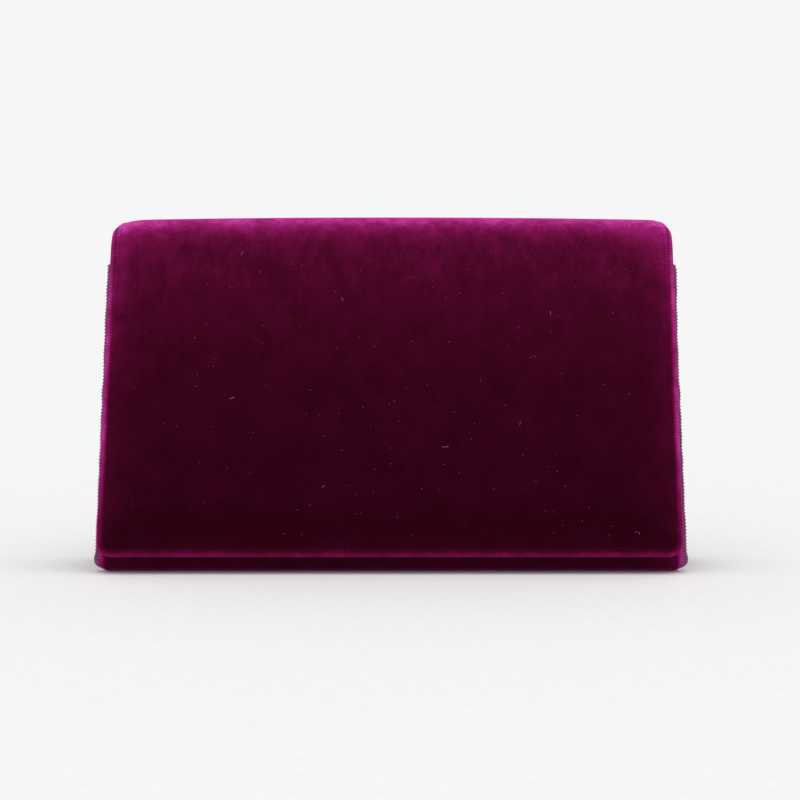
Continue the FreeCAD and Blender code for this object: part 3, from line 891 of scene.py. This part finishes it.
def seam_strip(name, path, start, end, side, half, node):
    """A whipped seam allowance: a thin flat strip whose outer edge is ribbed by its stitches."""
    rows = spaced(start, end, RIB_PITCH / 6)[:, None]         # six rows to a rib
    turn = np.radians(np.linspace(0, 360, 17))[None, :-1]
    rib = 0.5 + 0.5 * np.cos(rows * math.tau / RIB_PITCH)
    ends = np.minimum(1, np.minimum(rows - start, end - rows) / (0.6 * MM) + 0.25)
    from_top = rows - start if start > 0 else end - rows
    outer = half(rows) + SIDE_INSET - 0.9 * MM * (1 - smooth(from_top, 0, 2.2 * MM))
    outer = outer + (0.32 * rib + 0.10 * waves(rows, 0 * rows, 51, 6 * MM) - 0.05) * MM
    inner = half(rows) + SIDE_INSET - WELT - 0.7 * MM        # reaches in past the edge of the board
    middle, reach = (outer + inner) / 2, (outer - inner) / 2
    squarish = np.sign(np.cos(turn)) * np.abs(np.cos(turn)) ** 0.55
    thick = (0.62 + 0.16 * rib) * MM * ends
    upright = np.sign(np.sin(turn)) * np.abs(np.sin(turn)) ** 0.7
    past_edge = 0.12 * MM * smooth(from_top, 0, 12 * MM)
    if side > 0:
        near_top = hump(from_top - 5 * MM, 9 * MM)
        past_edge = (0.20 + 0.50 * near_top) * MM * smooth(from_top, 0, 4 * MM)
    x = side * (middle + reach * squarish + past_edge)
    height = path.at(rows)[1]
    near_base = 1 - smooth(height, 2 * MM, 6 * MM)           # there it also covers the edge of the board
    thick = thick + 0.38 * MM * near_base
    depth = (2.1 - 0.33 * near_base) * MM + thick * upright
    grid = lay(path, x, rows + 0 * turn, depth)
    count, around = grid.shape[:2]
    index = np.arange(count * around).reshape(count, around)
    index = join([index, index[:, :1]], 1)
    faces = [list(face) for face in quads(index)]
    faces += [list(index[0, :-1]), list(index[-1, -2::-1])]
    # each rib's height, which the seam's material turns into painted shade between the ribs
    painted_light = np.broadcast_to(rib, grid.shape[:2]).ravel()
    piece = make_mesh(name, grid, faces, SEAM, painted_light)
    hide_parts(node)
    return piece


def make_seams(side, side_name):
    def rim_half(s):
        return front_half(s) + RIM_PULL * smooth(s, FRONT_RIM_S - 4 * MM, FRONT_RIM_S)

    start, end = 15.5 * MM, BACK_PATH.length
    name, node = f"seam_edge_back_{side_name}", f"seam_welt_back_{side_name}"
    back = seam_strip(name, BACK_PATH, start, end, side, back_half, node)
    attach(back, "shell")
    end = FRONT_RIM_S - 0.3 * MM
    name, node = f"seam_edge_front_{side_name}", f"seam_welt_front_{side_name}"
    front = seam_strip(name, FRONT_PATH, 0, end, side, rim_half, node)
    across_front(front)


# ---- Stitches ----
def capsule(start, end, radius):
    """Points and faces of a short thread between two points."""
    start, end = np.array(start), np.array(end)
    along = (end - start) / np.linalg.norm(end - start)
    side = np.cross(along, (0.3, 1.0, 0.2))
    side /= np.linalg.norm(side)
    up = np.cross(along, side)
    points = []
    for share, width in ((0.0, 0.35), (0.12, 0.85), (0.5, 1.0), (0.88, 0.85), (1.0, 0.35)):
        for turn in np.arange(6) * math.tau / 6:
            ring = side * math.cos(turn) + up * math.sin(turn)
            points.append(start + (end - start) * share + ring * radius * width)
    faces = [[5, 4, 3, 2, 1, 0], [24, 25, 26, 27, 28, 29]]
    for ring in range(4):
        for i in range(6):
            a, b = ring * 6 + i, ring * 6 + (i + 1) % 6
            faces.append([a, b, b + 6, a + 6])
    return points, faces


def thread_row(name, ends, radius, material=THREAD):
    """One piece made of many short threads, each between a pair of points."""
    points, faces = [], []
    for start, end in ends:
        more, around = capsule(start, end, radius)
        faces += [[len(points) + i for i in face] for face in around]
        points += more
    return make_mesh(name, np.array(points), faces, material)


THREAD_R = 0.10 * MM
SUNK = 0.16 * MM             # depth of the stitch threads below the face


def side_stitches(name, path, side, half, shift, length):
    """The row of stitches down one side of a velvet, in its groove."""
    ends = []
    for i in range(int(length / STITCH_PITCH)):
        s = np.array([i + 0.16, i + 0.84]) * STITCH_PITCH
        x = side * (half(s) - STITCH_IN)
        points = lay(path, x, s, SUNK + crown(x, s))
        points[:, 0] += shift(s)
        ends.append(tuple(points))
    return thread_row(name, ends, THREAD_R)


def make_flap_stitches():
    made = []
    length = FACE_END - FLAP_CORNER
    for side, side_name in SIDES:
        name = f"flap_stitches_{side_name}"
        made.append(side_stitches(name, FLAP_PATH, side, flap_half, flap_shift, length))
    ends = []
    edge = flap_half(FACE_END) - FLAP_CORNER
    for i in range(int(2 * edge / STITCH_PITCH)):
        x = -edge + np.array([i + 0.16, i + 0.84]) * STITCH_PITCH
        s = np.array([FACE_END - STITCH_IN] * 2)
        ends.append(tuple(lay(FLAP_PATH, x, s, SUNK) + (flap_shift(FACE_END), 0, 0)))
    made.append(thread_row("flap_stitches_lower", ends, THREAD_R))
    return made


def make_lining_stitches():
    """Slanting stitches that hold the flap's lining to its turned hem, down both sides and across."""
    inset = LINING_IN + 0.55 * MM
    depth = STACK + 0.22 * MM
    pitch = 2.6 * MM
    slant = np.array([-0.35, 0.35]) * MM
    end = FACE_END - inset
    corner = flap_half(end) - inset - 1.5 * MM
    ends = []
    for side in (-1, 1):
        for i in range(2, int(end / pitch) - 1):
            s = np.array([i, i + 0.35]) * pitch
            x = side * (flap_half(s) - inset + slant)
            points = lay(FLAP_PATH, x, s, depth + crown(x, s))
            ends.append(tuple(points + (flap_shift(s[0]), 0, 0)))
    for i in range(int(2 * corner / pitch)):
        x = -corner + np.array([i, i + 0.35]) * pitch
        ends.append(tuple(lay(FLAP_PATH, x, end + slant, depth) + (flap_shift(end), 0, 0)))
    return thread_row("flap_lining_stitches", ends, THREAD_R)


def make_back_stitches():
    made = []
    for side, side_name in SIDES:
        name = f"back_stitches_{side_name}"
        made.append(side_stitches(name, BACK_PATH, side, back_half, back_shift, 100 * MM))
    return made


def make_rim_stitches():
    """The long stitches under the rim of the front panel."""
    s = FRONT_RIM_S - 3 * MM
    half = HALF_TOP - 4 * MM
    pitch = 2 * MM
    ends = []
    for i in range(int(2 * half / pitch)):
        x = -half + np.array([i + 0.15, i + 0.85]) * pitch
        ends.append(tuple(lay(FRONT_PATH, x, np.array([s, s]), 0.1 * MM)))
    return thread_row("rim_stitches", ends, 0.14 * MM)


# ---- Pocket ----
def pocket_back(z, gap):
    """Y at a gap in front of the back lining, at a height."""
    return back_y(z) - (STACK + 0.25 * MM + gap) / math.cos(LEAN)


def make_pocket():
    """The slip pocket: sewn down at its sides and foot, open and hemmed along the top."""
    low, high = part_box("slip_pocket_sheet")
    share = np.linspace(-1, 1, 61)[None, :]
    height = np.linspace(0, 1, 41)[:, None]
    z = low[2] + (high[2] - low[2]) * height
    x = high[0] * share + 0 * z
    room = np.clip(np.minimum((1 - np.abs(share)) * 14, height * 7), 0, 1)
    slack = 0.35 * MM * np.sin(math.pi * share) ** 2 * height + 0.12 * MM * waves(x, z, 41, 18 * MM)
    gap = (1.15 * MM + slack) * smooth(room, 0, 1)
    hem = 0.22 * MM * smooth(height, 0.92, 0.93) * (1 - smooth(height, 0.995, 1.0))
    back = pocket_back(z, 0) - gap
    grids = [np.stack([x, y, z + 0 * x], -1) for y in (back - 0.45 * MM - hem, back)]
    piece = closed_sheet("slip_pocket_skin", *grids, SATIN)
    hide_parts("slip_pocket_sheet", "slip_pocket_seam")
    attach(piece, "shell")
    make_pocket_stitches(high[0], high[2] - 4.2 * MM)


def make_pocket_stitches(half, z):
    """The row of stitches across the pocket, under its hem."""
    pitch = 2 * MM
    row = []
    for i in range(int(2 * half / pitch) - 1):
        start, end = -half + (i + 0.65) * pitch, -half + (i + 1.35) * pitch
        room = min(1, (1 - abs(start) / half) * 14)
        y = pocket_back(z, 1.55 * MM) + 1.1 * MM * (1 - smooth(room, 0, 1))
        y -= 0.25 * MM * math.sin(math.pi * start / half) ** 2
        row.append(((start, y, z), (end, y, z)))
    stitches = thread_row("pocket_stitches", row, 0.12 * MM)
    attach(stitches, "shell")


# ---- Snap ----
def lathe(name, profile, body, node):
    """Turn a closed outline of (radius, depth) round the snap's axis on the closed flap."""
    turn = np.radians(np.arange(0, 360, 5))[:, None]
    radius = np.array([r for r, _ in profile])[None, :] * MM
    depth = np.array([d for _, d in profile])[None, :] * MM
    x = radius * np.cos(turn)
    up = radius * np.sin(turn)
    face_y = -HALF_DEPTH + SNAP_HEIGHT * RUN
    y = face_y + depth * math.cos(LEAN) + up * math.sin(LEAN)
    z = SNAP_HEIGHT - depth * math.sin(LEAN) + up * math.cos(LEAN)
    grid = np.stack(np.broadcast_arrays(x, y, z), -1)
    index = np.arange(grid.shape[0] * grid.shape[1]).reshape(grid.shape[:2])
    index = join([index, index[:1]], 0)
    index = join([index, index[:, :1]], 1)
    piece = make_mesh(name, grid, quads(index), BRASS)
    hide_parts(node)
    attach(piece, body)
    return piece


def rounded_corner(centre, radius, first, last):
    """Points round an arc of an outline, from one angle to another in degrees."""
    turns = np.radians(np.linspace(first, last, 6))
    return [(centre[0] + radius * math.cos(t), centre[1] + radius * math.sin(t)) for t in turns]


def make_snap():
    """The two brass shells of the snap, as outlines of radius and depth in millimetres."""
    plate, tip = 3.72, 5.5
    stud = [(0.02, 3.46), (4.9, 3.46), (5.0, 3.22), (6.75, 3.22)]
    stud += rounded_corner((6.7, 3.47), 0.25, -90, 90)
    stud += [(5.4, plate), (5.2, plate - 0.08), (5.0, plate), (2.75, plate)]
    stud += rounded_corner((2.55, plate + 0.35), 0.35, -90, -180)
    stud += [(2.2, tip - 0.5)] + rounded_corner((1.75, tip - 0.45), 0.45, 0, 90)
    stud += [(0.02, tip)]
    lathe("snap_stud_skin", stud, "flap", "snap_stud")
    face, end = 4.1, 6.2
    case = [(2.92, face + 0.33)] + rounded_corner((3.1, face + 0.18), 0.18, 180, 270)
    case += [(4.6, face), (4.75, face + 0.07), (4.9, face)]
    case += rounded_corner((6.55, face + 0.45), 0.45, -90, 0)
    case += [(7.0, end), (6.67, end), (6.67, face + 0.36), (3.1, face + 0.36)]
    lathe("snap_case_skin", case, "front", "snap_case")


# ---- Lint ----
def make_lint():
    """Specks and a few short hairs lying on the flap."""
    rng = np.random.default_rng(62)
    ends = []
    for number in range(120):
        s = rng.uniform(ARC_HALF, FACE_END - 5 * MM)
        x = rng.uniform(-0.9, 0.9) * flap_half(s)
        turn = rng.uniform(0, math.tau)
        hair = number % 16 == 0
        step, links = (0.35 * MM, rng.integers(3, 6)) if hair else (0.20 * MM, 1)
        bow = rng.uniform(-0.5, 0.5)
        lift = 0.75 * MM * face_swell(x, s) + 0.16 * MM
        for _ in range(links):
            next_x = x + step * math.cos(turn)
            next_s = s + step * math.sin(turn)
            pair = lay(FLAP_PATH, np.array([x, next_x]), np.array([s, next_s]), -lift)
            ends.append(tuple(pair + (flap_shift(s), 0, 0)))
            x, s, turn = next_x, next_s, turn + bow
    piece = thread_row("lint", ends, 0.065 * MM, LINT)
    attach(piece, "flap")


# ---- Put it together ----
flap_pieces = [make_flap_velvet(), make_lining_stitches()] + make_flap_stitches()
back_pieces = [make_back_velvet()] + make_back_stitches()
flap_lining, back_lining, front_lining = make_flap_lining(), make_back_lining(), make_front_lining()
for piece in flap_pieces + [flap_lining]:
    across_fold(piece)
for piece in back_pieces + [back_lining]:
    across_fold(piece)
front_velvet = make_front_velvet()
rim_stitches = make_rim_stitches()
for piece in (front_velvet, front_lining, rim_stitches):
    across_front(piece)
for side, side_name in SIDES:
    make_gusset(side, side_name)
    make_seams(side, side_name)
make_pocket()
make_snap()
make_lint()

NODE_MATERIALS = {"board": BOARD, "steel": STEEL, "magnet": FERRITE, "snap_brass": BRASS}
for part in frame["record"]["subparts"]:
    material = NODE_MATERIALS.get(part["material_slot"])
    cad_piece = bpy.data.objects.get(part["node"])
    if material is not None and cad_piece is not None:
        cad_piece.data.materials.clear()
        cad_piece.data.materials.append(material)


# ---- Stage, lights and camera ----
def make_floor():
    reach, below = 60.0, 0.02 * MM
    corners = ((-1, -1), (1, -1), (1, 1), (-1, 1))
    points = np.array([(reach * x, reach * y, -below) for x, y in corners])
    n = Nodes("pale_floor")
    grain = n.noise(0.004, 2.0)
    colour = n.mix(n.range(grain, 0.3, 0.7), (0.89, 0.89, 0.89), (0.91, 0.91, 0.91))
    n.shader.inputs["Specular IOR Level"].default_value = 0.1
    material = n.finish(colour, n.range(grain, 0.3, 0.7, 0.85, 0.95), n.bump(grain, 0.0001, 0.1))
    floor = make_mesh("floor", points, [[0, 1, 2, 3]], material)


def sun(name, direction, strength, angle):
    """A soft sun that shines from a direction; the angle is how wide it looks, in degrees."""
    light = bpy.data.lights.new(name, "SUN")
    light.energy = strength
    light.angle = math.radians(angle)
    lamp = bpy.data.objects.new(name, light)
    lamp.rotation_mode = "QUATERNION"
    lamp.rotation_quaternion = (-Vector(direction)).to_track_quat("-Z", "Y")
    bpy.context.collection.objects.link(lamp)


def make_light():
    world = bpy.data.worlds.new("studio")
    bpy.context.scene.world = world
    world.use_nodes = True
    world.node_tree.nodes["Background"].inputs["Color"].default_value = (1.0, 1.0, 1.0, 1.0)
    world.node_tree.nodes["Background"].inputs["Strength"].default_value = 0.57
    sun("overhead", (0.05, -0.20, 1.0), 1.40, 60)
    sun("front_fill", (-0.1, -1.0, 0.45), 0.25, 60)
    bpy.context.scene.view_settings.view_transform = "Standard"


CAMERA_DISTANCE = 1.2
CAMERA_RISE = 5.5            # degrees above level
PICTURE_WIDTH = 0.2217       # metres across the picture at the purse
AIM = (2.5 * MM, 0.0, 46.4 * MM)


def make_camera():
    camera = bpy.data.cameras.new("camera")
    camera.sensor_width = 36.0
    camera.lens = 36.0 * CAMERA_DISTANCE / PICTURE_WIDTH
    camera.clip_start, camera.clip_end = 0.05, 200.0
    holder = bpy.data.objects.new("camera", camera)
    rise = math.radians(CAMERA_RISE)
    away = Vector((0, -math.cos(rise), math.sin(rise)))
    holder.location = Vector(AIM) + away * CAMERA_DISTANCE
    holder.rotation_mode = "QUATERNION"
    holder.rotation_quaternion = (-away).to_track_quat("-Z", "Y")
    bpy.context.collection.objects.link(holder)
    bpy.context.scene.camera = holder


make_floor()
make_light()
make_camera()
